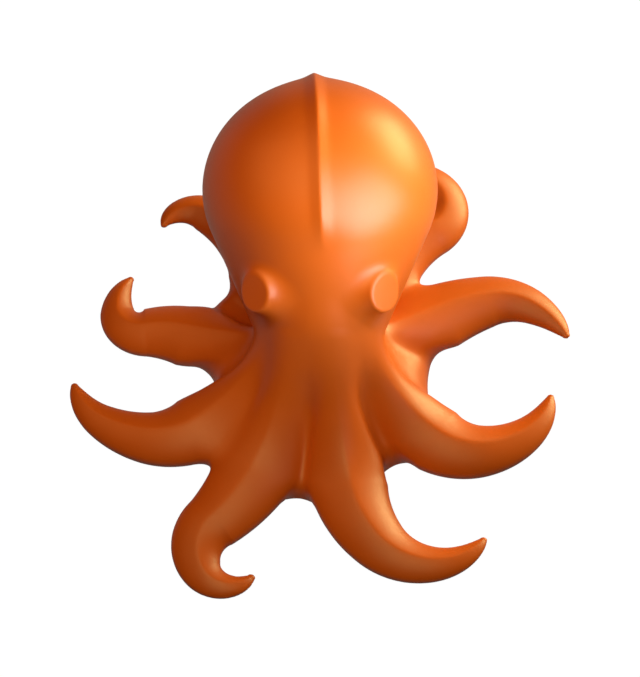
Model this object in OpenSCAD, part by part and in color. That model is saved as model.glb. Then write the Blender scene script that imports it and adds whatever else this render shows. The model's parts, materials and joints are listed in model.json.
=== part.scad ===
// Posable moulded octopus figure: a soft skin over a hinged plastic armature, on a flat base.
// Millimetres. +Z is up, +Y points behind the figure, and the origin is on the floor under the hub.
// Arms 1 to 4 are on the +X side, from back to front, and arms 5 to 8 on the -X side, from front to back.

/* [Head] */
// Radius of the round head
head_r = 44; // [42:0.5:46]
// Radius of the neck, where the head meets the crown
neck_r = 23; // [21:0.5:25]
// Backward lean of the head, in degrees
head_lean = 53; // [50:1:56]
// Distance from the neck seat to the middle of the head
head_up = 60; // [57:0.5:63]
// Distance of the neck seat behind the hub
seat_y = 2; // [0:0.5:4]
// Height of the middle of the neck seat
seat_z = 32.5; // [31:0.5:35]
// Wall of the moulded skin
skin_t = 3; // [2:0.25:3.5]
// Width of the keel along the middle of the head
keel_w = 8; // [6:0.5:10]
// Height of the keel's crest above the head
keel_h = 1.6; // [1:0.1:2.4]
// Sweep of the keel from the far end of the head down its front, in degrees
keel_sweep = 100; // [60:5:110]
// How far the keel runs on behind the far end of the head, in degrees
keel_back = 30; // [20:5:40]

/* [Eyes] */
// Diameter of an eye's flat face
eye_d = 15; // [12:0.5:17]
// Diameter of the root of an eye stalk
stalk_d = 20; // [17:0.5:23]
// Length of an eye stalk
stalk_len = 19; // [17:0.5:21]
// Distance of an eye from the head's midline
eye_x = 26.5; // [24:0.5:28]
// Distance of an eye in front of the head's axis
eye_front = 27; // [25:0.5:29]
// Height of an eye above the neck seat
eye_up = 22; // [20:0.5:24]
// Outward turn of an eye, in degrees from straight ahead
eye_turn = 42; // [35:1:55]
// Upward tilt of an eye, in degrees
eye_tilt = 5; // [0:1:15]

/* [Crown] */
// Radius at which the crown ends and the arms begin
crown_r = 56; // [55:0.5:58]
// Height of the web between two arms
web_h = 7; // [5:0.5:9]
// How steeply the crown falls away from the neck: 1 is a straight slope
crown_flare = 1.3; // [1:0.1:1.6]

/* [Arms] */
// Length of a middling arm, from the crown to its tip
arm_len = 60; // [57:0.5:63]
// Width of a middling arm at its root
arm_w = 28; // [26:0.5:29]
// Height of an arm at its root
arm_h = 16; // [15:0.5:18]
// Level of an arm's widest line, as a share of its height
arm_waist = 0.42; // [0.35:0.01:0.5]
// Fullness of an arm's taper: 1 is a straight cone, less is fuller
arm_taper = 0.62; // [0.55:0.01:0.7]
// Sharpness of the crest along an arm: 0 is round, 1 is a roof
crest = 0.3; // [0:0.05:0.6]
// Roundness of an arm's sole: 1 is half an ellipse, less is flatter
sole_round = 0.7; // [0.5:0.05:1]
// Place of the curl hinge, as a share of an arm's length
curl_at = 0.38; // [0.36:0.01:0.42]
// Half the length of the soft bend around the curl hinge
bend_half = 5; // [4.5:0.25:6]

/* [Armature] */
// Distance of the lift hinges inside the crown's rim
hinge_inset = 6; // [5:0.25:7]
// Height of the armature's middle above the floor
link_z = 6; // [5.75:0.25:6.5]
// Radius of an ear around its lift hinge
ear_r = 3; // [2.5:0.25:3]
// Thickness of one ear
ear_t = 3; // [2:0.25:3.5]
// Radius of a lift pin
lift_pin_r = 1.5; // [1:0.1:1.8]
// Width of a root link
link_w = 5; // [4:0.25:5.5]
// Height of a root link
link_h = 5; // [4:0.25:5.25]
// Radius of the eyes of a curl hinge
curl_eye_r = 3.5; // [3:0.25:3.75]
// Thickness of each plate of a curl hinge
curl_plate_t = 1.2; // [1:0.1:1.4]
// Radius of a curl pin
curl_pin_r = 1.2; // [0.8:0.1:1.5]
// Length of a tip link beyond its hinge
tip_link_len = 11; // [9:0.5:12]
// Width of a tip link
tip_link_w = 4; // [3:0.25:4.5]
// Height of a tip link
tip_link_h = 2.6; // [2.2:0.1:2.8]
// Radius of the hub
hub_r = 32; // [28:0.5:34]
// Thickness of the hub
hub_t = 5; // [4:0.25:5.5]

/* [Base] */
// Radius of the base plate
base_r = 36; // [34:0.5:38]
// Thickness of the base plate
base_t = 2; // [1.75:0.05:2.1]
// Thickness of the skin's flange, clamped between base plate and hub
flange_t = 1.5; // [1.25:0.05:1.6]
// Radius of the hole in that flange
flange_r = 22; // [21.5:0.25:24]
// Diameter of the circle of base screws
screw_pcd = 36; // [30:0.5:36]
// Radius of a base screw's shank
screw_r = 1.25; // [1:0.05:1.5]
// Length of a base screw's shank
screw_len = 5; // [4:0.25:6]
// Radius of a base screw's head
screw_head_r = 2.5; // [2.2:0.1:3]
// Height of a base screw's head
screw_head_h = 1; // [0.8:0.05:1.1]
// Depth of a base screw's head above the floor
screw_sink = 0.1; // [0.05:0.05:0.2]
// Radius of a screw boss under the hub
boss_r = 3.5; // [2.75:0.25:3.5]

/* [Fits] */
// Gap between pieces that move past each other
clearance = 0.3; // [0.2:0.05:0.4]
// Gap between the skin and the armature that it is moulded over
skin_fit = 0.15; // [0.1:0.05:0.25]
// Radial play of a pin in its bore
pin_play = 0.05; // [0.02:0.01:0.08]

/* [Hidden] */
$fn = 64;
// One row for each arm: azimuth, share of arm_len, the turns of its three equal stretches, the rise of
// its tip as a share of arm_h, the radius of the web on its anticlockwise side as a share of crown_r,
// and its width as a share of arm_w
ARMS = [
    [61, 1.275, -31, 114, 65, 1, 0.89, 1],
    [29, 0.97, -13, -47, -32, 0.25, 0.96, 1.04],
    [327, 0.97, 43, 30, 36, 0.25, 0.77, 1.05],
    [283, 1.2, 26, 48, 56, 0.2, 0.85, 1.17],
    [240.5, 1.17, -18, 74, 110, 0.13, 0.94, 1.17],
    [207, 0.985, -40, -22, -40, 0.25, 0.97, 1.03],
    [161.5, 0.85, 16, -86, -36, 0.2, 0.76, 1],
    [115, 0.9, 18, 28, 92, 0.38, 0.91, 0.96]
];
ARM_PIECES = ["base_skin", "bend_skin", "tip_skin", "root_link", "tip_link", "curl_pin"];
BODY_PIECES = ["head_skin", "crown_skin", "armature_hub", "lift_pins", "base_plate", "base_screws"];
function arm_node(n, piece) = str("arm_", n, "_", piece);

skin_colour = "#de641e";
plate_colour = "#c4561a";
armature_colour = "#e9e4d8";
steel_colour = "#b9bcc0";

arm_sides = 16;
crown_steps = 6;
// Places along an arm where its rings lie, as shares of the stretch that a piece covers
BASE_STOPS = [0, 0.25, 0.5, 0.75, 1];
BEND_STOPS = [0, 0.5, 1];
TIP_STOPS = [0, 0.15, 0.3, 0.45, 0.6, 0.72, 0.82, 0.9, 0.95, 0.98, 0.995];
// Places across an arm's stub on the crown, and across the web beside it
STUB_STOPS = [-1, -0.7, -0.35, 0, 0.35, 0.7, 1];
WEB_STOPS = [0.15, 0.5, 0.85];

// Reach of a cut through everything, and overlap of cuts and joined shapes
far = 200;
over = 1;
arm_start_r = crown_r + clearance;
hinge_r = crown_r - hinge_inset;
elbow_r = arm_start_r + link_w / 2;
clevis_w = link_w + 2 * clearance + 2 * ear_t;
// Height of the arm that carries an ear
ear_h = 1.5 * ear_r;
// Room in the crown for a pair of ears
slot_w = clevis_w + 2 * clearance;
slot_h = 2 * (ear_r + clearance);
hub_z = base_t + flange_t;
hub_top = hub_z + hub_t;
screw_seat_z = screw_sink + screw_head_h;
neck_bore_r = neck_r - 2 * skin_t;
// Upright bore through the crown, which opens into the leaning neck
crown_bore_r = neck_bore_r * cos(head_lean);
curl_gap = curl_eye_r + clearance;
// Slit between a soft bend and the tip beyond it, wide enough for the inside of a tight curve
bend_gap = 3 * clearance;
curl_tongue_t = link_h - 2 * curl_plate_t - 2 * clearance;
// How far the keel reaches into the head, and the ears into the hub
head_sink = 1;
ear_sink = 2;

// Shapes that several pieces share

// Faces of a closed skin over rings of n points, m rings from first to last
function skin_faces(m, n) = concat(
    [[for (i = [0:n - 1]) i]],
    [for (j = [0:m - 2]) for (i = [0:n - 1]) [j * n + i, (j + 1) * n + i, (j + 1) * n + (i + 1) % n]],
    [for (j = [0:m - 2]) for (i = [0:n - 1]) [j * n + i, (j + 1) * n + (i + 1) % n, j * n + (i + 1) % n]],
    [[for (i = [n - 1:-1:0]) (m - 1) * n + i]]
);

module loft(rings) {
    polyhedron(points = [for (ring = rings) each ring], faces = skin_faces(len(rings), len(rings[0])));
}

// Height of an arm's roof at u, from -1 at one edge over 0 at the crest to 1 at the other edge
function roof(u) = abs(u) >= 1 ? 0 : (1 - crest) * sqrt(1 - u * u) + crest * (1 - abs(u));

// End of an arc that leaves point p along heading h and turns by a number of degrees over its length
function arc_end(p, h, length, turn) = abs(turn) < 0.01
    ? p + length * [cos(h), sin(h)]
    : let (r = length * 180 / (PI * turn)) p + r * [sin(h + turn) - sin(h), cos(h) - cos(h + turn)];

function share(x) = min(max(x, 0), 1);

// Length of an arm, and its width at its root
function span(a) = a[1] * arm_len;
function root_w(a) = a[7] * arm_w;

function heading(a, s) = let (t = 3 * s / span(a))
    a[0] + a[2] * share(t) + a[3] * share(t - 1) + a[4] * share(t - 2);

// Point on an arm's centre line, in plan, at distance s from its root
function centre(a, s) = let (
    third = span(a) / 3,
    t = s / third,
    start = arm_start_r * [cos(a[0]), sin(a[0])],
    first = arc_end(start, a[0], third * share(t), a[2] * share(t)),
    second = arc_end(first, a[0] + a[2], third * share(t - 1), a[3] * share(t - 1))
) arc_end(second, a[0] + a[2] + a[3], third * share(t - 2), a[4] * share(t - 2));

function curl_s(a) = curl_at * span(a);
function rise(a, s) = let (t = share((s - curl_s(a)) / (span(a) - curl_s(a)))) a[5] * arm_h * t * t;

function arm_ring(a, s) = let (
    size = pow(1 - s / span(a), arm_taper),
    c = centre(a, s),
    h = heading(a, s),
    top = arm_h * size,
    waist = arm_waist * top
) [for (i = [0:arm_sides - 1]) let (
    turn = 360 * i / arm_sides,
    side = root_w(a) / 2 * size * cos(turn),
    up = sin(turn) >= 0 ? waist + (top - waist) * roof(cos(turn)) : waist * (1 - pow(-sin(turn), sole_round))
) [c[0] - side * sin(h), c[1] + side * cos(h), up + rise(a, s)]];

module arm_sweep(a, from, to, stops) {
    loft([for (t = stops) arm_ring(a, from + (to - from) * t)]);
}

// A straight bar from plan point p towards plan point q, starting and ending at distances along that line
module bar(p, q, from, to, width, height) {
    line = q - p;
    translate([p[0], p[1], link_z])
        rotate(atan2(line[1], line[0]))
            translate([from, -width / 2, -height / 2])
                cube([to - from, width, height]);
}

// An eight-sided post, with its width measured across its flats
module octagon_post(width, height) {
    cylinder(d = width / cos(22.5), h = height, center = true, $fn = 8);
}

function elbow(a) = elbow_r * [cos(a[0]), sin(a[0])];
function curl_point(a) = centre(a, curl_s(a));
function tip_point(a) = centre(a, curl_s(a) + tip_link_len);

module at_curl(a) {
    c = curl_point(a);
    translate([c[0], c[1], link_z]) children();
}

module head_frame() {
    translate([0, seat_y, seat_z]) rotate([-head_lean, 0, 0]) children();
}

// Point at which a line from the neck's edge touches the ball of the head
function touch_point(ball_r, stem_r) = let (
    reach = norm([stem_r, head_up]),
    length = sqrt(reach * reach - ball_r * ball_r),
    turn = atan2(head_up, -stem_r) - asin(ball_r / reach)
) [stem_r + length * cos(turn), length * sin(turn)];

// A ball that runs smoothly into a conical neck, turned around the head's axis
module head_turning(ball_r, stem_r) {
    rotate_extrude()
        intersection() {
            union() {
                translate([0, head_up]) circle(ball_r);
                polygon([[0, 0], [stem_r, 0], touch_point(ball_r, stem_r), [0, head_up]]);
            }
            translate([0, -far]) square([far, 3 * far]);
        }
}

module eye_stalk(side) {
    translate([side * eye_x, -eye_front, eye_up])
        rotate([0, 90 - eye_tilt, side * eye_turn - 90])
            translate([0, 0, -stalk_len])
                cylinder(r1 = stalk_d / 2, r2 = eye_d / 2, h = stalk_len);
}

module head_keel() {
    foot = head_r - head_sink;
    translate([0, 0, head_up])
        rotate([90, 0, -90])
            rotate([0, 0, 90 - keel_sweep])
                rotate_extrude(angle = keel_sweep + keel_back)
                    polygon([[foot, -keel_w / 2], [head_r + keel_h, 0], [foot, keel_w / 2]]);
}

module screw_places() {
    for (turn = [0:90:270]) rotate(turn + 45) translate([screw_pcd / 2, 0, 0]) children();
}

// Pieces of the body

module head_skin() {
    color(skin_colour)
        head_frame()
            difference() {
                union() {
                    head_turning(head_r, neck_r);
                    head_keel();
                    for (side = [-1, 1]) eye_stalk(side);
                }
                head_turning(head_r - skin_t, neck_bore_r);
                translate([-far, -far, -far]) cube([2 * far, 2 * far, far]);
            }
}

// Points around the crown's rim, each as azimuth, radius and height: a stub with a flat face and a
// crest for each arm, and a hollow web between each two
RIM = [for (n = [len(ARMS) - 1:-1:0]) let (
    a = ARMS[n],
    next = ARMS[(n + len(ARMS) - 1) % len(ARMS)],
    edge = atan2(root_w(a) / 2, crown_r),
    edge_r = norm([crown_r, root_w(a) / 2]),
    gap = (next[0] - a[0] + 360) % 360 - edge - atan2(root_w(next) / 2, crown_r)
) each concat(
    [for (q = STUB_STOPS) [
        a[0] + atan2(q * root_w(a) / 2, crown_r),
        norm([crown_r, q * root_w(a) / 2]),
        arm_h * (arm_waist + (1 - arm_waist) * roof(q))
    ]],
    [for (t = WEB_STOPS) [
        a[0] + edge + gap * t,
        edge_r + (a[6] * crown_r - edge_r) * sqrt(sin(180 * t)),
        web_h
    ]]
)];

function rim_point(p) = [p[1] * cos(p[0]), p[1] * sin(p[0]), p[2]];
// Point on the seat of the neck, at radius r
function seat_point(turn, r) = [
    r * cos(turn),
    seat_y + r * sin(turn) * cos(head_lean),
    seat_z - r * sin(turn) * sin(head_lean)
];

// A ring of the crown: share 0 is the rim, 1 is the neck seat
function crown_ring(t) = [for (p = RIM) let (
    rim = rim_point(p),
    seat = seat_point(p[0], neck_r),
    flat = rim + (seat - rim) * t
) [flat[0], flat[1], rim[2] + (seat[2] - rim[2]) * pow(t, crown_flare)]];

module crown_skin() {
    // The end faces have an inner ring each, so that their edges meet the bores squarely
    sole = [for (p = RIM) [p[1] * cos(p[0]), p[1] * sin(p[0]), 0]];
    sole_middle = [for (p = sole) p / 4];
    seat_middle = [for (p = RIM) seat_point(p[0], neck_r / 4)];
    color(skin_colour)
        difference() {
            loft(concat(
                [sole_middle, sole],
                [for (k = [0:crown_steps]) crown_ring(k / crown_steps)],
                [seat_middle]
            ));
            translate([0, 0, -over]) cylinder(r = base_r + skin_fit, h = base_t + over);
            cylinder(r = flange_r, h = hub_top);
            translate([0, 0, hub_z]) cylinder(r = hub_r + skin_fit, h = hub_t + skin_fit);
            translate([0, seat_y, hub_top]) cylinder(r = crown_bore_r, h = far);
            for (a = ARMS)
                rotate(a[0])
                    translate([hub_r - 2 * ear_sink, -slot_w / 2, link_z - slot_h / 2])
                        cube([crown_r - hub_r + 3 * ear_sink, slot_w, slot_h]);
        }
}

module armature_hub() {
    color(armature_colour)
        difference() {
            union() {
                translate([0, 0, hub_z]) cylinder(r = hub_r, h = hub_t);
                screw_places() translate([0, 0, base_t]) cylinder(r = boss_r, h = flange_t + over);
                for (a = ARMS)
                    rotate(a[0])
                        for (side = [-1, 1])
                            translate([0, side * (link_w + 2 * clearance + ear_t) / 2, link_z]) {
                                translate([hub_r - ear_sink, -ear_t / 2, -ear_h / 2])
                                    cube([hinge_r - hub_r + ear_sink, ear_t, ear_h]);
                                translate([hinge_r, 0, 0])
                                    rotate([90, 0, 0])
                                        cylinder(r = ear_r, h = ear_t, center = true);
                            }
            }
            for (a = ARMS) lift_rod(a, lift_pin_r + pin_play, clevis_w + over);
            screw_places() cylinder(r = screw_r + pin_play, h = screw_seat_z + screw_len + clearance);
        }
}

// A round rod along an arm's lift axis
module lift_rod(a, r, length) {
    rotate(a[0])
        translate([hinge_r, 0, link_z])
            rotate([90, 0, 0])
                cylinder(r = r, h = length, center = true);
}

module lift_pins() {
    color(steel_colour)
        for (a = ARMS) lift_rod(a, lift_pin_r, clevis_w);
}

module base_plate() {
    color(plate_colour)
        difference() {
            cylinder(r = base_r, h = base_t);
            screw_places()
                translate([0, 0, -over]) {
                    cylinder(r = screw_r + clearance, h = base_t + 2 * over);
                    cylinder(r = screw_head_r + clearance, h = over + screw_seat_z);
                }
        }
}

module base_screws() {
    color(steel_colour)
        screw_places()
            translate([0, 0, screw_sink]) {
                cylinder(r = screw_head_r, h = screw_head_h);
                cylinder(r = screw_r, h = screw_head_h + screw_len);
            }
}

// Pieces of one arm

module arm_base_skin(a) {
    color(skin_colour)
        difference() {
            arm_sweep(a, 0, curl_s(a) - bend_half, BASE_STOPS);
            translate([0, 0, link_z])
                linear_extrude(height = link_h + 2 * skin_fit, center = true)
                    link_plan(a, link_w + 2 * skin_fit);
        }
}

// Plan of the slot for a root link: out from the lift hinge, round the elbow and on past the curl hinge
module link_plan(a, width) {
    way = curl_point(a) - elbow(a);
    rotate(a[0]) translate([hinge_r, -width / 2]) square([elbow_r - hinge_r, width]);
    translate(elbow(a)) {
        rotate(a[0]) circle(d = width / cos(22.5), $fn = 8);
        rotate(atan2(way[1], way[0])) translate([0, -width / 2]) square([far, width]);
    }
}

// Corner where a root link turns from the lift hinge towards the curl hinge
module link_elbow(a) {
    p = elbow(a);
    translate([p[0], p[1], link_z]) rotate(a[0]) octagon_post(link_w, link_h);
}

module arm_bend_skin(a) {
    color(skin_colour)
        difference() {
            arm_sweep(a, curl_s(a) - bend_half, curl_s(a) + bend_half, BEND_STOPS);
            at_curl(a)
                rotate(heading(a, curl_s(a)))
                    octagon_post(2 * curl_gap, link_h + 2 * clearance);
            bar(curl_point(a), elbow(a), 0, 2 * bend_half, link_w + 2 * skin_fit, link_h + 2 * skin_fit);
            bar(curl_point(a), tip_point(a), 0, 2 * bend_half,
                tip_link_w + 2 * clearance, tip_link_h + 2 * clearance);
        }
}

module arm_tip_skin(a) {
    color(skin_colour)
        difference() {
            arm_sweep(a, curl_s(a) + bend_half + bend_gap, span(a), TIP_STOPS);
            bar(curl_point(a), tip_point(a), 0, tip_link_len + skin_fit,
                tip_link_w + 2 * skin_fit, tip_link_h + 2 * skin_fit);
        }
}

module arm_root_link(a) {
    reach = norm(curl_point(a) - elbow(a));
    plate_z = link_h / 2 - curl_plate_t / 2;
    color(armature_colour)
        difference() {
            union() {
                lift_rod(a, ear_r, link_w);
                bar([0, 0], elbow(a), hinge_r, elbow_r, link_w, link_h);
                link_elbow(a);
                bar(elbow(a), curl_point(a), 0, reach - curl_gap, link_w, link_h);
                for (side = [-1, 1])
                    translate([0, 0, side * plate_z]) {
                        bar(elbow(a), curl_point(a), reach - curl_gap - over, reach, link_w, curl_plate_t);
                        at_curl(a) cylinder(r = curl_eye_r, h = curl_plate_t, center = true);
                    }
            }
            lift_rod(a, lift_pin_r + pin_play, link_w + over);
            at_curl(a) cylinder(r = curl_pin_r + pin_play, h = link_h + over, center = true);
        }
}

module arm_tip_link(a) {
    color(armature_colour)
        difference() {
            union() {
                at_curl(a) cylinder(r = curl_eye_r, h = curl_tongue_t, center = true);
                bar(curl_point(a), tip_point(a), 0, curl_gap + over, tip_link_w, curl_tongue_t);
                bar(curl_point(a), tip_point(a), curl_gap, tip_link_len, tip_link_w, tip_link_h);
            }
            at_curl(a) cylinder(r = curl_pin_r + pin_play, h = link_h, center = true);
        }
}

module arm_curl_pin(a) {
    color(steel_colour)
        at_curl(a) cylinder(r = curl_pin_r, h = link_h, center = true);
}

head_skin();
crown_skin();
armature_hub();
lift_pins();
base_plate();
base_screws();
for (n = [1:len(ARMS)]) {
    arm_base_skin(ARMS[n - 1]);
    arm_bend_skin(ARMS[n - 1]);
    arm_tip_skin(ARMS[n - 1]);
    arm_root_link(ARMS[n - 1]);
    arm_tip_link(ARMS[n - 1]);
    arm_curl_pin(ARMS[n - 1]);
}
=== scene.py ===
# %% [markdown]
# # A posable moulded octopus
#
# The real object is a seamless, satin orange figure: one soft skin moulded over a hinged armature.
# The frame already holds the armature, its pins, the base plate and a plain solid for every stretch
# of skin. What is missing is the skin as the eye sees it, with no seam between head, crown and arms.
# The figure is worked out in millimetres and scaled to metres when a mesh is made. The stage at the
# end is set out in metres.

# %% Load the frame
import json
import math

import bmesh
import bpy
import numpy as np
import openvdb
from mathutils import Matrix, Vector


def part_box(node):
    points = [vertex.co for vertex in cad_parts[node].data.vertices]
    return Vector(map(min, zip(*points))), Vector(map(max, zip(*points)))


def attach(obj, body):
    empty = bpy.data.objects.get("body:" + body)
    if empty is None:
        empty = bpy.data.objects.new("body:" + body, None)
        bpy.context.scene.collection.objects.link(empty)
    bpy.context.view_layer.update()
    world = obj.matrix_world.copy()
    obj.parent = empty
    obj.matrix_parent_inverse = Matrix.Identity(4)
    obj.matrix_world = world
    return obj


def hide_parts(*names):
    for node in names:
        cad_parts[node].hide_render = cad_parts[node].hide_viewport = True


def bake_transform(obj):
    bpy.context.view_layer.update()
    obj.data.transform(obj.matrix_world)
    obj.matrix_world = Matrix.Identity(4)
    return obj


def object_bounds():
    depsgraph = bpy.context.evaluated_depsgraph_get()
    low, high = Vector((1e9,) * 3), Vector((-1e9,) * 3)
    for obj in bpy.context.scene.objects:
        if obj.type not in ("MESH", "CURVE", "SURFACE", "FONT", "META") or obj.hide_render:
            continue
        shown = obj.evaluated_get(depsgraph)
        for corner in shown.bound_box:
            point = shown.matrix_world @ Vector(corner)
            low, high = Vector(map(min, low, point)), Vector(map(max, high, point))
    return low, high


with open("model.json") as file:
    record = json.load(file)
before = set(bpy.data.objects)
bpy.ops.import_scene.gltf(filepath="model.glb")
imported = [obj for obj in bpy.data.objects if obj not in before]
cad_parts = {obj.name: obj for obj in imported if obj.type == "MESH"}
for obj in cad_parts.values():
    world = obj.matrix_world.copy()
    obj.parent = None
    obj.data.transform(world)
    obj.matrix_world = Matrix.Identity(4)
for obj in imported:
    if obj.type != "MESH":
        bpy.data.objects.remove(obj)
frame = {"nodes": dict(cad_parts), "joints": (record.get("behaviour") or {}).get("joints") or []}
cad_low, cad_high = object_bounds()
MM = 0.001
print("CAD box in mm:", [round(x / MM) for x in cad_low], [round(x / MM) for x in cad_high])

# %% [markdown]
# ## The arms' centre lines
#
# Each arm lies on the floor and curls sideways. It could be drawn as a Bezier curve, but a mould
# maker gives a curl as a bend over a length, and so does the part: three equal stretches, each with
# its own turn. Walking along the line in small steps gives its points. Inwards of the crown's rim the
# same line goes on as an arc up to the neck, so that each arm can grow out of the head as a ridge.

# %% Rows and walks of the eight arms
ARM_LENGTH, ARM_HEIGHT = 60.0, 16.0
ROOT_RADIUS = 56.3
SEAT_Y, SEAT_Z = 2.0, 32.5
NECK_RADIUS = 23.0
LEAN = math.radians(53)
NECK_RUN = 8.0
STATION_STEP = 2.0
# azimuth, share of the length, three turns in degrees, tip rise as a share of the arm's height,
# the radius of the web on the anticlockwise side, and the share of the width
ARMS = [
    (61, 1.25, (-31, 114, 66), 1.00, 47.0, 1.00),
    (29, 0.957, (-12.5, -46, -30), 0.25, 50.5, 1.04),
    (327.4, 0.958, (43, 30, 38), 0.25, 43.5, 1.03),
    (283, 1.2, (28.6, 49, 54), 0.20, 48.8, 1.09),
    (240.1, 1.168, (-18, 74, 112), 0.13, 54.3, 1.15),
    (207, 0.973, (-40, -22, -40), 0.25, 55.5, 1.03),
    (161.2, 0.822, (22, -89, -45), 0.20, 41.6, 0.945),
    (113.3, 0.902, (20, 28, 85), 0.37, 54.0, 1.06),
]


def arm_line(azimuth, share, turns, rise, _web, wide):
    length, aim = share * ARM_LENGTH, math.radians(azimuth)
    seat = np.array([NECK_RADIUS * math.cos(aim), SEAT_Y + NECK_RADIUS * math.cos(LEAN) * math.sin(aim)])
    chord = ROOT_RADIUS * np.array([math.cos(aim), math.sin(aim)]) - seat
    swing = math.remainder(aim - math.atan2(chord[1], chord[0]), math.tau)
    climb = float(np.hypot(*chord)) / np.sinc(swing / math.pi)
    ends = [-climb - NECK_RUN, 0.0, length / 3, 2 * length / 3, length]
    bends = [2 * swing / climb, *(np.radians(turns) / (length / 3))]
    s, bend = ends[:1], bends[:1]
    for start, end, rate in zip(ends, ends[1:], bends):
        steps = math.ceil((end - start) / STATION_STEP)
        s.extend(np.linspace(start, end, steps + 1)[1:])
        bend.extend([rate] * steps)
    s, before = np.array(s), np.array(bend)
    after, root, step = np.append(before[1:], before[-1]), int(np.argmin(np.abs(s))), np.diff(s)
    heading = np.append(0, np.cumsum(before[1:] * step))
    heading += aim - heading[root]
    middle = (heading[1:] + heading[:-1]) / 2
    walk = step * np.sinc(before[1:] * step / math.tau) * np.stack([np.cos(middle), np.sin(middle)])
    xy = np.vstack([np.zeros((1, 2)), np.cumsum(walk, axis=1).T])
    xy += ROOT_RADIUS * np.array([math.cos(aim), math.sin(aim)]) - xy[root]
    along = np.stack([np.cos(heading), np.sin(heading)], axis=1)
    neck_z = SEAT_Z - NECK_RADIUS * math.sin(LEAN) * math.sin(aim)
    peak = max(neck_z, (1 + rise) * ARM_HEIGHT)
    line = {"length": length, "rise": rise, "wide": wide, "climb": climb, "neck_z": neck_z, "peak": peak}
    return {**line, "s": s, "along": along, "before": before, "after": after, "xy": xy}


def at_place(line, what, s):
    """The plan position ("xy") or direction ("along") of an arm's line, s millimetres from its root."""
    return np.array([np.interp(s, line["s"], line[what][:, k]) for k in (0, 1)])


LINES = [arm_line(*row) for row in ARMS]
CURL_SHARE = 0.38
for number, line in enumerate(LINES, 1):
    hinge = next(j for j in frame["joints"] if j["name"] == f"curl_{number}")["pos_m"]
    line["curl"] = at_place(line, "xy", CURL_SHARE * line["length"])
    off = np.hypot(*(line["curl"] - np.array(hinge[:2]) / MM))
    print(f"arm {number}: {line['length']:.0f} mm long, curl hinge {off:.2f} mm from the frame's")

# %% [markdown]
# ## Shapes as fields
#
# A moulded figure has no edges where its parts meet: the sculptor rubs clay into every corner. Bevels
# can't do that on such a form, so each part is written as a field, a function that says how far a
# point is from the part, below zero inside. A soft minimum of two fields is their union with the
# corner filled, and the same turned round is a soft cut.


# %% Soft unions and cuts
EASE_RATE = 6.0


def soft_union(a, b, reach):
    mix = np.clip(0.5 + 0.5 * (b - a) / reach, 0, 1)
    return b + (a - b) * mix - reach * mix * (1 - mix)


def soft_cut(a, b, reach):
    return -soft_union(-a, -b, reach)


def ease(x):
    """A slope of 1 at 0 that soon levels out, and 0 before it."""
    return (1 - np.exp(-EASE_RATE * np.maximum(x, 0))) / EASE_RATE


def soft_abs(x, width):
    """|x| with a rounded corner, scaled so that it is still 1 at 1."""
    return (np.sqrt(x * x + width * width) - width) / (math.sqrt(1 + width * width) - width)


def soft_sign(x, width):
    return x / np.sqrt(x * x + width * width) / (math.sqrt(1 + width * width) - width)


corner_fill = -soft_union(np.zeros(1), np.zeros(1), 8)[0]
print("a corner with reach 8 is filled by", round(float(corner_fill), 1), "mm")

# %% [markdown]
# ## One arm
#
# An arm's section has a round sole and a crested roof, like a banana with its ridge up. The section
# is a norm: its value is 1 on the skin, and dividing by its slope turns it into millimetres. The
# place along the arm comes from the nearest station, measured along the circle that touches the arm
# there: a straight tangent would leave steps between the stations, and the steps would show as specks.

# %% The arm's field
ARM_WIDTH = 28.0
ARM_TAPER = 0.62
WAIST = 0.42
CREST = 0.46
CREST_ROUND = 0.09
FLANK_ROUND = 0.35
SOLE_POWER = 2.6
TIP_SHARE = 0.028
RIDGE_FLARE = 2.0
RIDGE_SLIM, RIDGE_LOW = 0.66, 0.2
NECK_DIVE, NECK_SINK = 14.0, 4.0
# kept off zero by this much, the section's slope is never a division by zero
TINY = 1e-6
CHUNK = 40000


def place_on_arm(line, p):
    """Distance along the arm, and distance sideways from its centre line, for points in plan."""
    s, side = np.empty(len(p)), np.empty(len(p))
    for i in range(0, len(p), CHUNK):
        q = p[i:i + CHUNK, :2]
        far = (q[:, 0, None] - line["xy"][:, 0]) ** 2 + (q[:, 1, None] - line["xy"][:, 1]) ** 2
        near = np.argmin(far, axis=1)
        away, along = q - line["xy"][near], line["along"][near]
        ahead = np.sum(away * along, axis=1)
        across = away[:, 1] * along[:, 0] - away[:, 0] * along[:, 1]
        bend = np.where(ahead < 0, line["before"][near], line["after"][near])
        inwards = 1 - bend * across
        curved = np.arctan2(bend * ahead, inwards) / np.where(bend == 0, 1, bend)
        place = line["s"][near] + np.where(bend == 0, ahead, curved)
        off = (2 * across - bend * (ahead**2 + across**2)) / (1 + np.hypot(inwards, bend * ahead))
        s[i:i + CHUNK] = np.clip(place, line["s"][0], line["length"])
        side[i:i + CHUNK] = np.hypot(off, place - s[i:i + CHUNK])
    return s, side


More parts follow.
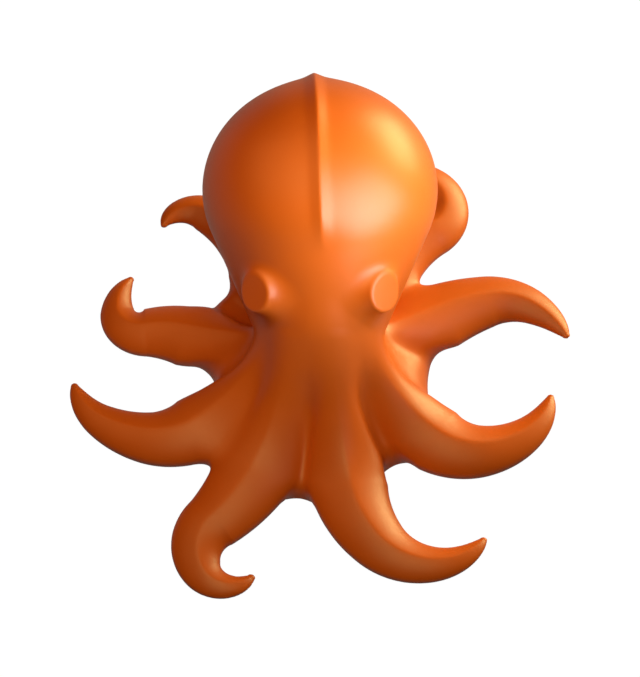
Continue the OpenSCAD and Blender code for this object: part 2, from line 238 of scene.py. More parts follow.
def arm_sizes(line, s):
    """Half width, depth above and below the waist, the waist's height, and the share of ridge."""
    size = (1 - (1 - TIP_SHARE) * np.clip(s / line["length"], 0, 1)) ** ARM_TAPER
    lifted = np.clip((s / line["length"] - CURL_SHARE) / (1 - CURL_SHARE), 0, 1)
    up = np.clip(-s / line["climb"], 0, 1)
    slim = up * up * (3 - 2 * up)
    up = up + ease(-s / line["climb"] - 1)
    half = ARM_WIDTH / 2 * line["wide"] * size * (1 - RIDGE_SLIM * slim)
    grade = ARM_TAPER * ARM_HEIGHT / line["length"] * line["climb"]
    ridge = grade * up + (line["neck_z"] - ARM_HEIGHT - grade) * up**RIDGE_FLARE
    ridge = ridge - NECK_DIVE * np.clip((-s - line["climb"]) / NECK_RUN, 0, 1) ** 2
    roof_depth = ARM_HEIGHT * (1 - WAIST) * size * (1 - RIDGE_LOW * slim)
    sole_depth = WAIST * ARM_HEIGHT * size
    sole_depth = sole_depth + np.maximum(ridge + RIDGE_LOW * slim * ARM_HEIGHT * (1 - WAIST), -NECK_SINK)
    waist = sole_depth + line["rise"] * ARM_HEIGHT * lifted**2
    return half, roof_depth, sole_depth, waist, slim


def arm_field(line, p):
    s, side = place_on_arm(line, p)
    half, roof_depth, sole_depth, waist, slim = arm_sizes(line, s)
    roof = p[:, 2] >= waist
    depth = np.where(roof, roof_depth, sole_depth)
    u, w = side / half + TINY, np.abs(p[:, 2] - waist) / depth + TINY
    r = np.hypot(u, w)
    crest = CREST * (1 - slim)
    flat_u = (1 - crest) * u + crest * soft_abs(u, CREST_ROUND)
    flat_du = 1 - crest + crest * soft_sign(u, CREST_ROUND)
    crested = (1 - crest) * r + crest * (soft_abs(u, CREST_ROUND) + soft_abs(w, FLANK_ROUND))
    crested_du = (1 - crest) * u / r + crest * soft_sign(u, CREST_ROUND)
    crested_dw = (1 - crest) * w / r + crest * soft_sign(w, FLANK_ROUND)
    soled = (flat_u**SOLE_POWER + w**SOLE_POWER) ** (1 / SOLE_POWER)
    soled_du = (flat_u / soled) ** (SOLE_POWER - 1) * flat_du
    soled_dw = (w / soled) ** (SOLE_POWER - 1)
    norm = np.where(roof, crested, soled)
    slope = np.hypot(
        np.where(roof, crested_du, soled_du) / half, np.where(roof, crested_dw, soled_dw) / depth
    )
    return (norm - 1) / slope


first_aim = math.radians(ARMS[0][0])
root_section = np.array([[ROOT_RADIUS * math.cos(first_aim), ROOT_RADIUS * math.sin(first_aim), ARM_HEIGHT]])
print("crest of arm 1 at its root is off by", round(float(arm_field(LINES[0], root_section)[0]), 2), "mm")

# %% [markdown]
# ## The crown
#
# The arms' ridges run up to the neck, and between them the skin lies like the floor of a valley.
# Rings that shrink from the rim to the leaning neck seat give every spot a place on that slope.
# Webs of skin end the floor between the arms, each at its own radius.

# %% The crown's field
WEB_HEIGHT, NECK_STEP = 7.0, 2.5
CROWN_FLARE = 2.1
TENT_TOP = 1.3
WEB_ROUND = 7.0
SLOPE_SHARE = 0.8
SEARCH_STEPS = 22

ROUND_ORDER = sorted(range(len(ARMS)), key=lambda n: ARMS[n][0])
ARM_ANGLES = np.array([float(ARMS[n][0]) for n in ROUND_ORDER])
# the web that follows an arm anticlockwise, in the same order
WEB_RADII = np.array([ARMS[n][4] for n in ROUND_ORDER])


def around_crown(angle):
    """Share from an arm's axis (0) to the middle of the web (1), and the radius of that web."""
    angle = np.mod(angle, 360.0)
    last = np.mod(np.searchsorted(ARM_ANGLES, angle, side="right") - 1, len(ARMS))
    gap = np.mod(ARM_ANGLES[(last + 1) % len(ARMS)] - ARM_ANGLES[last], 360.0)
    share = np.mod(angle - ARM_ANGLES[last], 360.0) / gap
    return 1 - np.abs(2 * share - 1), WEB_RADII[last]


def slope_place(x, y):
    """Share of the way from rim (0) to neck seat (1) and on into the head, and the angle on that ring."""
    low, high = np.zeros_like(x), np.full_like(x, TENT_TOP)
    for _ in range(SEARCH_STEPS):
        t = (low + high) / 2
        wide = ROOT_RADIUS + (NECK_RADIUS - ROOT_RADIUS) * t
        deep = ROOT_RADIUS + (NECK_RADIUS * math.cos(LEAN) - ROOT_RADIUS) * t
        outside = (x / wide) ** 2 + ((y - SEAT_Y * t) / deep) ** 2 > 1
        low, high = np.where(outside, low, t), np.where(outside, t, high)
    return t, np.degrees(np.arctan2((y - SEAT_Y * t) / deep, x / wide))


def crown_height(x, y):
    t, angle = slope_place(x, y)
    climb = np.clip(t, 0, 1) ** CROWN_FLARE + CROWN_FLARE * ease(t - 1)
    seat = SEAT_Z - NECK_STEP - NECK_RADIUS * np.sin(np.radians(angle)) * math.sin(LEAN)
    return WEB_HEIGHT + (seat - WEB_HEIGHT) * climb


def crown_field(p):
    x, y, z = p.T
    web_share, web = around_crown(np.degrees(np.arctan2(y, x)))
    edge = web + (ROOT_RADIUS - web) * (1 - web_share) ** 2
    return soft_cut((z - crown_height(x, y)) * SLOPE_SHARE, np.hypot(x, y) - edge, WEB_ROUND)


front = np.array([0.0, 0.0, 0.0]), np.array([-50.0, -30.0, -10.0])
print("crown heights towards the viewer:", crown_height(*front).round(1))

# %% [markdown]
# ## The head
#
# The head is a ball that runs into a cone, leaning back by 53 degrees. Two stubby stalks carry flat
# eyes, and a low keel with a sharp crest runs from the brow over the top: it is what splits the
# light on the head into a bright and a dark half. The keel is added to the field as a bump, so that
# it fades out by itself at both ends.

# %% The head's field
HEAD_X = 0.4
HEAD_RADIUS = 43.9
HEAD_UP = 59.4
HEAD_WIDE = 1.067
CONE_RADIUS = 21.5
KEEL_HEIGHT, KEEL_HALF, KEEL_ROUND, KEEL_FOOT = 1.15, 3.8, 0.5, 0.35
BROW_HEIGHT, BROW_WIDE = 1.6, 9.0
KEEL_FROM, KEEL_TO = 120.0, -52.0
KEEL_FADE = 26.0
KEEL_X_TOP, KEEL_X_BROW = -2.4, 1.2
EYE_PLACE = (25.9, -27.7, 20.8)
EYE_TURN, EYE_TILT = math.radians(42), math.radians(5)
EYE_RADIUS, STALK_RADIUS, STALK_LENGTH = 7.2, 8.8, 22.0
EYE_EDGE = 0.7
EYE_BLEND = 8.0


def to_head(p):
    """Points in the head's own frame: z along its axis, -y to the front."""
    dy, dz = p[:, 1] - SEAT_Y, p[:, 2] - SEAT_Z
    c, s = math.cos(LEAN), math.sin(LEAN)
    return np.stack([p[:, 0] - HEAD_X, c * dy - s * dz, s * dy + c * dz], axis=1)


def ball_and_cone(q):
    out, up = np.hypot(q[:, 0] / HEAD_WIDE, q[:, 1]), q[:, 2]
    lean_in = (CONE_RADIUS - HEAD_RADIUS) / HEAD_UP
    upright = math.sqrt(1 - lean_in**2)
    foot = -lean_in * out + upright * up
    cone = out * upright + up * lean_in - CONE_RADIUS
    ball = np.hypot(out, up - HEAD_UP) - HEAD_RADIUS
    neck = np.hypot(out, up) - CONE_RADIUS
    return np.where(foot < 0, neck, np.where(foot > upright * HEAD_UP, ball, cone))


def keel(q):
    """Height of the keel and of the brow's gentle fold above the head."""
    turn = np.degrees(np.arctan2(-q[:, 1], q[:, 2] - HEAD_UP))
    x = q[:, 0] - (KEEL_X_TOP + (KEEL_X_BROW - KEEL_X_TOP) * np.clip(turn / KEEL_FROM, 0, 1))
    ends = np.clip((KEEL_FROM - turn) / KEEL_FADE, 0, 1) * np.clip((turn - KEEL_TO) / KEEL_FADE, 0, 1)
    ends = ends * ends * (3 - 2 * ends)
    off = np.sqrt(x * x + KEEL_ROUND**2) - KEEL_ROUND
    flank = 1 - off / KEEL_HALF
    crest = (flank + np.sqrt(flank * flank + KEEL_FOOT**2)) / 2
    return ends * (KEEL_HEIGHT * crest + BROW_HEIGHT * np.exp(-off / BROW_WIDE))


def eye_axis(side):
    out, ahead = math.cos(EYE_TILT) * math.sin(EYE_TURN), math.cos(EYE_TILT) * math.cos(EYE_TURN)
    return np.array([side * out, -ahead, math.sin(EYE_TILT)])


def eye_field(q, side):
    """A stalk with a flat face: a cone cut off by two planes, its edge rounded."""
    axis = eye_axis(side)
    away = q - np.array([side * EYE_PLACE[0], EYE_PLACE[1], EYE_PLACE[2]])
    along = away @ axis
    out = np.sqrt(np.maximum(np.sum(away * away, axis=1) - along**2, 0))
    flare = (STALK_RADIUS - EYE_RADIUS) / STALK_LENGTH
    wall = (out - EYE_RADIUS + flare * along) / math.sqrt(1 + flare**2)
    return soft_cut(wall, np.maximum(along, -STALK_LENGTH - along), 2 * EYE_EDGE)


def head_field(p):
    q = to_head(p)
    f = ball_and_cone(q) - keel(q)
    for side in (-1, 1):
        f = soft_union(f, eye_field(q, side), EYE_BLEND)
    return f


far_end = HEAD_UP + HEAD_RADIUS
apex = np.array([[KEEL_X_TOP, SEAT_Y + math.sin(LEAN) * far_end, SEAT_Z + math.cos(LEAN) * far_end]])
print("keel above the head's far end:", round(-float(head_field(apex)[0]), 1), "mm")

# %% [markdown]
# ## One skin
#
# Now the parts are rubbed together: head into crown, arms into crown and into each other. The sole
# is cut flat where the figure stands, and a shallow round recess takes the base plate, whose size
# comes from the frame.

# %% The whole skin's field
NECK_BLEND, ARM_BLEND = 10.0, 7.0
SOLE_ROUND, RECESS_ROUND = 1.2, 0.5
PLATE_GAP = 0.3
_, plate_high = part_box("base_plate")
RECESS_RADIUS = plate_high.x / MM + PLATE_GAP
RECESS_TOP = plate_high.z / MM + PLATE_GAP
ARM_MARGIN = 12.0
ARM_REACH = ARM_WIDTH / 2 + ARM_MARGIN


def skin_field(p):
    f = soft_union(head_field(p), crown_field(p), NECK_BLEND)
    for line in LINES:
        low, high = line["xy"].min(0) - ARM_REACH, line["xy"].max(0) + ARM_REACH
        in_plan = np.all((p[:, :2] > low) & (p[:, :2] < high), axis=1)
        near = in_plan & (p[:, 2] < line["peak"] + ARM_REACH / 2)
        if near.any():
            f[near] = soft_union(f[near], arm_field(line, p[near]), ARM_BLEND)
    f = soft_cut(f, -p[:, 2], SOLE_ROUND)
    recess = np.maximum(np.hypot(p[:, 0], p[:, 1]) - RECESS_RADIUS, p[:, 2] - RECESS_TOP)
    return soft_cut(f, -recess, RECESS_ROUND)


print("recess for the base plate:", round(RECESS_RADIUS, 1), "mm radius,", round(RECESS_TOP, 1), "mm deep")

# %% [markdown]
# ## From field to mesh
#
# The field is sampled on a grid of 0.8 mm, and Blender's own OpenVDB module draws the
# surface through the zeros. Sampling every point would be slow, so a coarse grid first finds the
# blocks that the skin passes through. The vertices are then moved onto the exact skin along the
# field's slope, which also gives the normals for smooth shading.

# %% Sample and draw the skin
VOXEL = 0.8
BLOCK = 4
# a block is sampled finely if the skin lies within this many block sides of its middle
BUSY_REACH = 2.2
MARGIN = 6.0
grid_low = np.array(cad_low) / MM - MARGIN
blocks = np.ceil((np.array(cad_high) / MM + MARGIN - grid_low) / (VOXEL * BLOCK)).astype(int)
fine = np.stack(np.meshgrid(*[np.arange(BLOCK)] * 3, indexing="ij"), axis=-1).reshape(-1, 3)
corners = np.stack(np.meshgrid(*[np.arange(n) for n in blocks], indexing="ij"), axis=-1).reshape(-1, 3)
middles = grid_low + (corners * BLOCK + (BLOCK - 1) / 2) * VOXEL
coarse = skin_field(middles)
busy = np.abs(coarse) < BUSY_REACH * BLOCK * VOXEL
cells = (corners[busy][:, None, :] * BLOCK + fine[None]).reshape(-1, 3)
volume = np.repeat(np.repeat(np.repeat(coarse.reshape(blocks), BLOCK, 0), BLOCK, 1), BLOCK, 2)
volume[cells[:, 0], cells[:, 1], cells[:, 2]] = skin_field(grid_low + cells * VOXEL)

grid = openvdb.FloatGrid(background=float(volume.max()))
grid.copyFromArray(volume.astype(np.float32))
skin_points, _, skin_quads = grid.convertToPolygons(0.0, 0.0)
skin_points = grid_low + skin_points.astype(float) * VOXEL
print(f"skin: {len(skin_points)} points, {len(skin_quads)} quads from {len(cells)} samples")


# %% Move the points onto the skin
SETTLE_ROUNDS = 3
SLOPE_FLOOR = 0.05
PROBE = 0.1
TETRA = np.array([(1, 1, 1), (1, -1, -1), (-1, 1, -1), (-1, -1, 1)]) * PROBE


def slope_of_skin(p):
    """The field's slope from four probes at the corners of a small tetrahedron."""
    return sum(skin_field(p + corner)[:, None] * corner for corner in TETRA) / (4 * PROBE**2)


for _ in range(SETTLE_ROUNDS):
    slope = slope_of_skin(skin_points)
    step = skin_field(skin_points) / np.maximum(np.sum(slope * slope, axis=1), SLOPE_FLOOR)
    skin_points -= np.clip(step, -VOXEL, VOXEL)[:, None] * slope
print("largest distance left:", round(float(np.abs(skin_field(skin_points)).max()), 3), "mm")

# %% [markdown]
# ## Cutting the skin at the joints
#
# On the real figure the skin is one piece that stretches. Here it is cut where the armature bends,
# into a body and three stretches for each arm. The cuts are flat, square to the arm, and both sides
# keep the same normals, so no seam shows.

# %% Cut and sort the faces
ROOT_CUT = 1.0
BEND_HALF = 5.5
CUT_REACH = 9.0
CUT_TOLERANCE = 1e-4
ARM_NEAR = 6.0


def cut_planes(line):
    """Place and direction of an arm's cuts: at its root, and either side of its curl hinge."""
    curl_s = CURL_SHARE * line["length"]
    for s in (ROOT_CUT, curl_s - BEND_HALF, curl_s + BEND_HALF):
        along = at_place(line, "along", s)
        yield s, at_place(line, "xy", s), along / np.hypot(*along)


def face_middles(bm):
    return np.array([f.calc_center_median() for f in bm.faces])


bm = bmesh.new()
bm_points = [bm.verts.new(p) for p in skin_points]
for quad in skin_quads:
    bm.faces.new([bm_points[i] for i in quad])
bm.normal_update()
bm.faces.ensure_lookup_table()
whole_faces, middle = list(bm.faces), face_middles(bm)
for line in LINES:
    for s, place, along in cut_planes(line):
        ahead = np.abs((middle[:, :2] - place) @ along)
        beside = np.hypot(*(middle[:, :2] - place).T) < ARM_WIDTH
        close = np.flatnonzero((ahead < 2 * VOXEL) & beside)
        here, _ = place_on_arm(line, middle[close])
        on_arm = arm_field(line, middle[close]) < ARM_NEAR
        chosen = close[(np.abs(here - s) < CUT_REACH) & on_arm]
        faces = [whole_faces[i] for i in chosen if whole_faces[i].is_valid]
        geometry = {v for f in faces for v in f.verts} | {e for f in faces for e in f.edges} | set(faces)
        bmesh.ops.bisect_plane(
            bm, geom=list(geometry), dist=CUT_TOLERANCE, plane_co=(*place, 0), plane_no=(*along, 0)
        )
bm.faces.ensure_lookup_table()
print("faces after the cuts:", len(bm.faces))

# %% Which stretch each face belongs to
BODY_CODE, CODES_PER_ARM = 0, 10


def stretch_code(arm, cuts_passed):
    return CODES_PER_ARM * arm + cuts_passed


middle = face_middles(bm)
far_off = np.stack([arm_field(line, middle) for line in LINES])
nearest = np.where(far_off.min(0) < ARM_NEAR, np.argmin(far_off, axis=0), -1)
stretch = np.full(len(middle), BODY_CODE)
for n, line in enumerate(LINES):
    mine = np.flatnonzero(nearest == n)
    here, _ = place_on_arm(line, middle[mine])
    passed = np.zeros(len(mine), int)
    for s, place, along in cut_planes(line):
        beyond = (middle[mine][:, :2] - place) @ along > 0
        passed += np.where(np.abs(here - s) < CUT_REACH, beyond, here > s)
    stretch[mine] = np.where(passed > 0, stretch_code(n + 1, passed), BODY_CODE)
print({int(k): int(c) for k, c in zip(*np.unique(stretch, return_counts=True))})

# %% [markdown]
# ## Making the pieces
#
# Each stretch becomes a mesh of its own. Its open ends are capped to make it a closed shell, though a
# pinhole can stay where two ends of the body come close together. The vertices get the field's own
# slope as their normal.

# %% Build one mesh for each stretch
all_points = np.array([v.co for v in bm.verts])
slope = slope_of_skin(all_points)
all_normals = slope / np.linalg.norm(slope, axis=1)[:, None]
for i, v in enumerate(bm.verts):
    v.index = i
face_loops = [[v.index for v in f.verts] for f in bm.faces]
bm.free()


def ends_of(faces):
    """Closed rings of the edges that only one face uses, each turned to face outwards."""
    once = {}
    for face in faces:
        for a, b in zip(face, face[1:] + face[:1]):
            if once.pop((b, a), None) is None:
                once[(a, b)] = True
    follow = {b: a for a, b in once}
    rings = []
    while follow:
        first, ring = next(iter(follow)), []
        at = first
        while at in follow:
            ring.append(at)
            at = follow.pop(at)
        rings.append(ring)
    return rings


def skin_piece(name, code):
    faces = [face_loops[i] for i in np.flatnonzero(stretch == code)]
    rings = [ring for ring in ends_of(faces) if len(ring) > 2]
    used = sorted({v for face in faces for v in face})
    new = {v: i for i, v in enumerate(used)}
    mesh = bpy.data.meshes.new(name)
    shells = [[new[v] for v in face] for face in faces + rings]
    mesh.from_pydata(all_points[used] * MM, [], shells)
    mesh.polygons.foreach_set("use_smooth", [True] * len(shells))
    normals = [all_normals[v] for face in faces for v in face]
    for ring in rings:
        spokes = all_points[ring] - all_points[ring].mean(0)
        flat = np.cross(spokes, np.roll(spokes, -1, 0)).sum(0)
        normals += [flat / np.linalg.norm(flat)] * len(ring)
    mesh.normals_split_custom_set(np.array(normals))
    piece = bpy.data.objects.new(name, mesh)
    bpy.context.scene.collection.objects.link(piece)
    print(f"{name}: {len(faces)} faces, {len(rings)} ends")
    return piece, all_points[[v for ring in rings for v in ring]]


body_skin, _ = skin_piece("body_skin", BODY_CODE)
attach(body_skin, "body")
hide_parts("head_skin", "crown_skin")

# %% [markdown]
# ## The arms' stretches
#
# The root and bend stretches of each arm keep the place they were made in, and the frame's plain
# solids for them are hidden. The places of their ends along the arm are measured but not used.
# Each tip rides on its arm's tip body.

# %% Make each arm's stretches and carry the tips
skins = [body_skin]
for n, line in enumerate(LINES, 1):
    cuts = list(cut_planes(line))
    root, root_ends = skin_piece(f"arm_{n}_root", stretch_code(n, 1))
    bend, bend_ends = skin_piece(f"arm_{n}_bend", stretch_code(n, 2))
    tip, _ = skin_piece(f"arm_{n}_tip_skin_piece", stretch_code(n, 3))
    skins += [root, bend, tip]

    ahead = (root_ends[:, :2] - cuts[0][1]) @ cuts[0][2]
    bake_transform(root)
    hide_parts(f"arm_{n}_base_skin")

    heading = at_place(line, "along", CURL_SHARE * line["length"])
    ahead = (bend_ends[:, :2] - line["curl"]) @ heading
    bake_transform(bend)
    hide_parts(f"arm_{n}_bend_skin")

    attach(tip, f"arm_{n}_tip")
    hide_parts(f"arm_{n}_tip_skin")

# %% [markdown]
# ## Shared finishes
#
# Three of the materials are moulded plastics, so what a mould leaves behind is made once, as node
# groups: a fine stipple from the etched mould, and a slow drift of tone from the flow of the melt.
# Both use object coordinates, so the pattern stays on the piece from every side.


# %% Helpers for the node groups
NOISE_LOW, NOISE_HIGH = 0.3, 0.7


def new_group(name, inputs, outputs):
    group = bpy.data.node_groups.new(name, "ShaderNodeTree")
    for label, kind, value in inputs:
        group.interface.new_socket(label, in_out="INPUT", socket_type=kind).default_value = value
    for label, kind in outputs:
        group.interface.new_socket(label, in_out="OUTPUT", socket_type=kind)
    return group, group.nodes.new("NodeGroupInput"), group.nodes.new("NodeGroupOutput")


def noise_node(tree, scale, detail):
    node = tree.nodes.new("ShaderNodeTexNoise")
    node.inputs["Scale"].default_value = scale
    node.inputs["Detail"].default_value = detail
    return node


def range_node(tree, low, high):
    node = tree.nodes.new("ShaderNodeMapRange")
    limits = {"From Min": NOISE_LOW, "From Max": NOISE_HIGH, "To Min": low, "To Max": high}
    for label, value in limits.items():
        node.inputs[label].default_value = value
    return node


print("noise is read between", NOISE_LOW, "and", NOISE_HIGH)

# %% The mould's stipple
HILL_SCALE = 420.0
stipple, stipple_in, stipple_out = new_group(
    "mould_stipple", [("Grain", "NodeSocketFloat", 2600.0)], [("Height", "NodeSocketFloat")]
)
place = stipple.nodes.new("ShaderNodeTexCoord")
pits, hills = noise_node(stipple, 1.0, 2.0), noise_node(stipple, HILL_SCALE, 1.0)
add = stipple.nodes.new("ShaderNodeMath")
stipple.links.new(place.outputs["Object"], pits.inputs["Vector"])
stipple.links.new(place.outputs["Object"], hills.inputs["Vector"])
stipple.links.new(stipple_in.outputs["Grain"], pits.inputs["Scale"])
stipple.links.new(pits.outputs["Fac"], add.inputs[0])
stipple.links.new(hills.outputs["Fac"], add.inputs[1])
stipple.links.new(add.outputs[0], stipple_out.inputs["Height"])
print("made", stipple.name)

# %% The melt's drift of tone
FLOW_SCALE, SPECK_SCALE = 28.0, 900.0
SPECK_ROUGHNESS = 0.035
melt, melt_in, melt_out = new_group(
    "melt_tone",
    [
        ("Tone", "NodeSocketColor", (0.8, 0.8, 0.8, 1)),
        ("Drift", "NodeSocketFloat", 0.06),
        ("Dullness", "NodeSocketFloat", 0.35),
    ],
    [("Color", "NodeSocketColor"), ("Roughness", "NodeSocketFloat")],
)
place = melt.nodes.new("ShaderNodeTexCoord")
slow, fast = noise_node(melt, FLOW_SCALE, 2.0), noise_node(melt, SPECK_SCALE, 2.0)
swing = range_node(melt, -1.0, 1.0)
amount, value = melt.nodes.new("ShaderNodeMath"), melt.nodes.new("ShaderNodeMath")
amount.operation = "MULTIPLY"
value.inputs[1].default_value = 1.0
tone = melt.nodes.new("ShaderNodeHueSaturation")
speck = range_node(melt, -SPECK_ROUGHNESS, SPECK_ROUGHNESS)
dullness = melt.nodes.new("ShaderNodeMath")
for node in (slow, fast):
    melt.links.new(place.outputs["Object"], node.inputs["Vector"])
melt.links.new(slow.outputs["Fac"], swing.inputs["Value"])
melt.links.new(swing.outputs["Result"], amount.inputs[0])
melt.links.new(melt_in.outputs["Drift"], amount.inputs[1])
melt.links.new(amount.outputs[0], value.inputs[0])
melt.links.new(value.outputs[0], tone.inputs["Value"])
melt.links.new(melt_in.outputs["Tone"], tone.inputs["Color"])
melt.links.new(tone.outputs["Color"], melt_out.inputs["Color"])
melt.links.new(fast.outputs["Fac"], speck.inputs["Value"])
melt.links.new(speck.outputs["Result"], dullness.inputs[0])
melt.links.new(melt_in.outputs["Dullness"], dullness.inputs[1])
melt.links.new(dullness.outputs[0], melt_out.inputs["Roughness"])
print("node groups:", [g.name for g in bpy.data.node_groups])

# %% [markdown]
# ## The materials
#
# The skin is a satin orange vinyl: a saturated colour under a soft, fairly broad shine. The base
# plate is the same plastic, harder and duller. The armature is natural nylon, and the pins and
# screws are drawn steel, whose fine lines run along the wire.


# %% Moulded plastics
BUMP_DISTANCE = 0.0001


def to_linear(red, green, blue):
    """A colour as a paint chart gives it, from 0 to 255, for the shader."""
    parts = [c / 255 for c in (red, green, blue)]
    return (*[c / 12.92 if c < 0.04045 else ((c + 0.055) / 1.055) ** 2.4 for c in parts], 1)


def moulded(name, colour, drift, dullness, grain, depth, specular):
    material = bpy.data.materials.new(name)
    material.use_nodes = True
    tree = material.node_tree
    shader = tree.nodes["Principled BSDF"]
    shader.inputs["Specular IOR Level"].default_value = specular
    tone, texture = tree.nodes.new("ShaderNodeGroup"), tree.nodes.new("ShaderNodeGroup")
    tone.node_tree, texture.node_tree = melt, stipple
    tone.inputs["Tone"].default_value = colour
    tone.inputs["Drift"].default_value = drift
    tone.inputs["Dullness"].default_value = dullness
    texture.inputs["Grain"].default_value = grain
    bump = tree.nodes.new("ShaderNodeBump")
    bump.inputs["Strength"].default_value = depth
    bump.inputs["Distance"].default_value = BUMP_DISTANCE
    tree.links.new(tone.outputs["Color"], shader.inputs["Base Color"])
    tree.links.new(tone.outputs["Roughness"], shader.inputs["Roughness"])
    tree.links.new(texture.outputs["Height"], bump.inputs["Height"])
    tree.links.new(bump.outputs["Normal"], shader.inputs["Normal"])
    return material


vinyl = moulded(
    "satin_orange_vinyl", to_linear(221, 99, 21),
    drift=0.05, dullness=0.42, grain=2600.0, depth=0.12, specular=0.6,
)
hard = moulded(
    "orange_base_plastic", to_linear(196, 86, 26),
    drift=0.04, dullness=0.48, grain=1900.0, depth=0.25, specular=0.4,
)
nylon = moulded(
    "natural_nylon", to_linear(233, 228, 214),
    drift=0.03, dullness=0.45, grain=2200.0, depth=0.15, specular=0.5,
)
print("plastics:", [m.name for m in (vinyl, hard, nylon)])

# %% Drawn steel
WIRE_STRETCH = (900, 900, 60)
WIRE_SCALE, WIRE_DETAIL = 4.0, 3.0
STEEL_ROUGHNESS = (0.22, 0.42)


def drawn_steel(name):
    material = bpy.data.materials.new(name)
    material.use_nodes = True
    tree = material.node_tree
    shader = tree.nodes["Principled BSDF"]
    shader.inputs["Metallic"].default_value = 1.0
    shader.inputs["Base Color"].default_value = to_linear(196, 198, 202)
    place, wire = tree.nodes.new("ShaderNodeTexCoord"), tree.nodes.new("ShaderNodeMapping")
    wire.inputs["Scale"].default_value = WIRE_STRETCH
    lines, dullness = noise_node(tree, WIRE_SCALE, WIRE_DETAIL), range_node(tree, *STEEL_ROUGHNESS)
    tree.links.new(place.outputs["Object"], wire.inputs["Vector"])
    tree.links.new(wire.outputs["Vector"], lines.inputs["Vector"])
    tree.links.new(lines.outputs["Fac"], dullness.inputs["Value"])
    tree.links.new(dullness.outputs["Result"], shader.inputs["Roughness"])
    return material


steel = drawn_steel("drawn_steel")
print("made", steel.name)

# %% Give out the materials
for piece in skins:
    piece.data.materials.append(vinyl)
FINISHES = {"base_plate": hard, "armature_hub": nylon, "lift_pins": steel, "base_screws": steel}
for name, node in frame["nodes"].items():
    finish = FINISHES.get(name) or (steel if name.endswith("curl_pin") else nylon)
    if not node.hide_render:
        node.data.materials.clear()
        node.data.materials.append(finish)
print("shown frame nodes:", sum(not node.hide_render for node in frame["nodes"].values()))

# %% [markdown]
# ## Floor, light and camera
#
# The photograph is a studio shot on white, with a long lens that looks down by 60 degrees. A small
# softbox close to the head lights its right half, and its narrow spread leaves the arms darker. A larger
# one behind on the right gives the shine, and two weak warm ones keep the left side from going dark.
# The floor is plain white and keeps a faint shadow. The camera's distance follows from the lens and
# from the width that the picture shows.

# %% Floor
FLOOR_GREY, GLOW_SHARE, MIRRORED_SHARE = 0.16, 0.7, 0.25
FLOOR_REACH = 4.0
floor_mesh = bpy.data.meshes.new("floor")
floor_corners = [(x * FLOOR_REACH, y * FLOOR_REACH, 0) for x, y in ((-1, -1), (1, -1), (1, 1), (-1, 1))]
floor_mesh.from_pydata(floor_corners, [], [(0, 1, 2, 3)])
floor = bpy.data.objects.new("floor", floor_mesh)
bpy.context.scene.collection.objects.link(floor)
paper = bpy.data.materials.new("white_paper")
paper.use_nodes = True
tree = paper.node_tree
tree.nodes.remove(tree.nodes["Principled BSDF"])
chalk = tree.nodes.new("ShaderNodeBsdfDiffuse")
glow = tree.nodes.new("ShaderNodeEmission")
mix = tree.nodes.new("ShaderNodeMixShader")
rays = tree.nodes.new("ShaderNodeLightPath")
mirrored, seen, share = (tree.nodes.new("ShaderNodeMath") for _ in range(3))
chalk.inputs["Color"].default_value = (*[FLOOR_GREY] * 3, 1)
mirrored.operation, seen.operation, share.operation = "MULTIPLY_ADD", "MAXIMUM", "MULTIPLY"
mirrored.inputs[1].default_value = MIRRORED_SHARE
share.inputs[1].default_value = GLOW_SHARE
glow.inputs["Strength"].default_value = 1 / GLOW_SHARE
tree.links.new(rays.outputs["Is Glossy Ray"], mirrored.inputs[0])
tree.links.new(rays.outputs["Is Camera Ray"], mirrored.inputs[2])
tree.links.new(mirrored.outputs[0], seen.inputs[0])
tree.links.new(rays.outputs["Is Transmission Ray"], seen.inputs[1])
tree.links.new(seen.outputs[0], share.inputs[0])
tree.links.new(share.outputs[0], mix.inputs["Fac"])
tree.links.new(chalk.outputs[0], mix.inputs[1])
tree.links.new(glow.outputs[0], mix.inputs[2])
tree.links.new(mix.outputs[0], tree.nodes["Material Output"].inputs["Surface"])
floor_mesh.materials.append(paper)
print("floor reaches", FLOOR_REACH, "m each way")

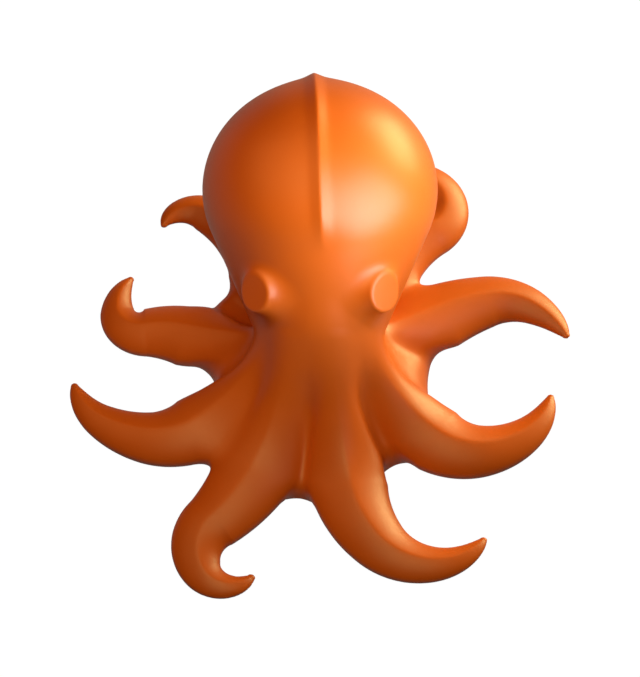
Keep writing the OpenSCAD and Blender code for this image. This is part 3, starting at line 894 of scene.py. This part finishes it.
# %% World and lamps
WORLD_COLOUR, WORLD_STRENGTH = (1.0, 0.4, 0.15, 1), 0.04
world = bpy.data.worlds.new("studio")
bpy.context.scene.world = world
world.use_nodes = True
world.node_tree.nodes["Background"].inputs["Color"].default_value = WORLD_COLOUR
world.node_tree.nodes["Background"].inputs["Strength"].default_value = WORLD_STRENGTH


def softbox(name, place, aim, size, power, colour, spread=180):
    lamp = bpy.data.lights.new(name, "AREA")
    lamp.shape, lamp.size, lamp.size_y = "RECTANGLE", size[0], size[1]
    lamp.energy, lamp.color, lamp.spread = power, colour, math.radians(spread)
    box = bpy.data.objects.new(name, lamp)
    box.location = place
    box.rotation_euler = (Vector(aim) - Vector(place)).to_track_quat("-Z", "Y").to_euler()
    box.visible_camera = False
    bpy.context.scene.collection.objects.link(box)
    print(f"{name}: {power} W")


softbox("near", (0.085, -0.02, 0.15), (0, 0.06, 0.125), (0.12, 0.12), 0.15, (0.86, 1.0, 0.97), spread=108)
softbox("rear", (0.5, 0.41, 0.17), (0, 0.03, 0.05), (0.42, 0.3), 5.1, (1.0, 0.92, 0.4))
softbox("top", (0.02, -0.14, 0.46), (0, 0, 0.03), (0.3, 0.3), 0.7, (1.0, 0.83, 0.32))
softbox("fill", (-0.15, 0.04, 0.28), (0, 0.03, 0.05), (0.26, 0.26), 0.19, (1.0, 0.54, 0.16))

# %% Camera
LOOK_DOWN = math.radians(60)
VIEW_WIDTH = 0.256
LENS, SENSOR = 1000.0, 36.0
CLIP_END = 100
PICTURE = (640, 677)
TARGET = Vector((0.0004, 0.0154, 0.0089))
camera = bpy.data.objects.new("camera", bpy.data.cameras.new("camera"))
camera.data.lens, camera.data.sensor_width = LENS, SENSOR
long_side = VIEW_WIDTH * max(PICTURE) / PICTURE[0]
back = Vector((0, -math.cos(LOOK_DOWN), math.sin(LOOK_DOWN)))
camera.location = TARGET + back * (long_side * LENS / SENSOR)
camera.rotation_euler = (math.pi / 2 - LOOK_DOWN, 0, 0)
camera.data.clip_end = CLIP_END
bpy.context.scene.collection.objects.link(camera)
bpy.context.scene.camera = camera
bpy.context.scene.view_settings.view_transform = "Standard"
print("camera at", [round(x, 2) for x in camera.location])
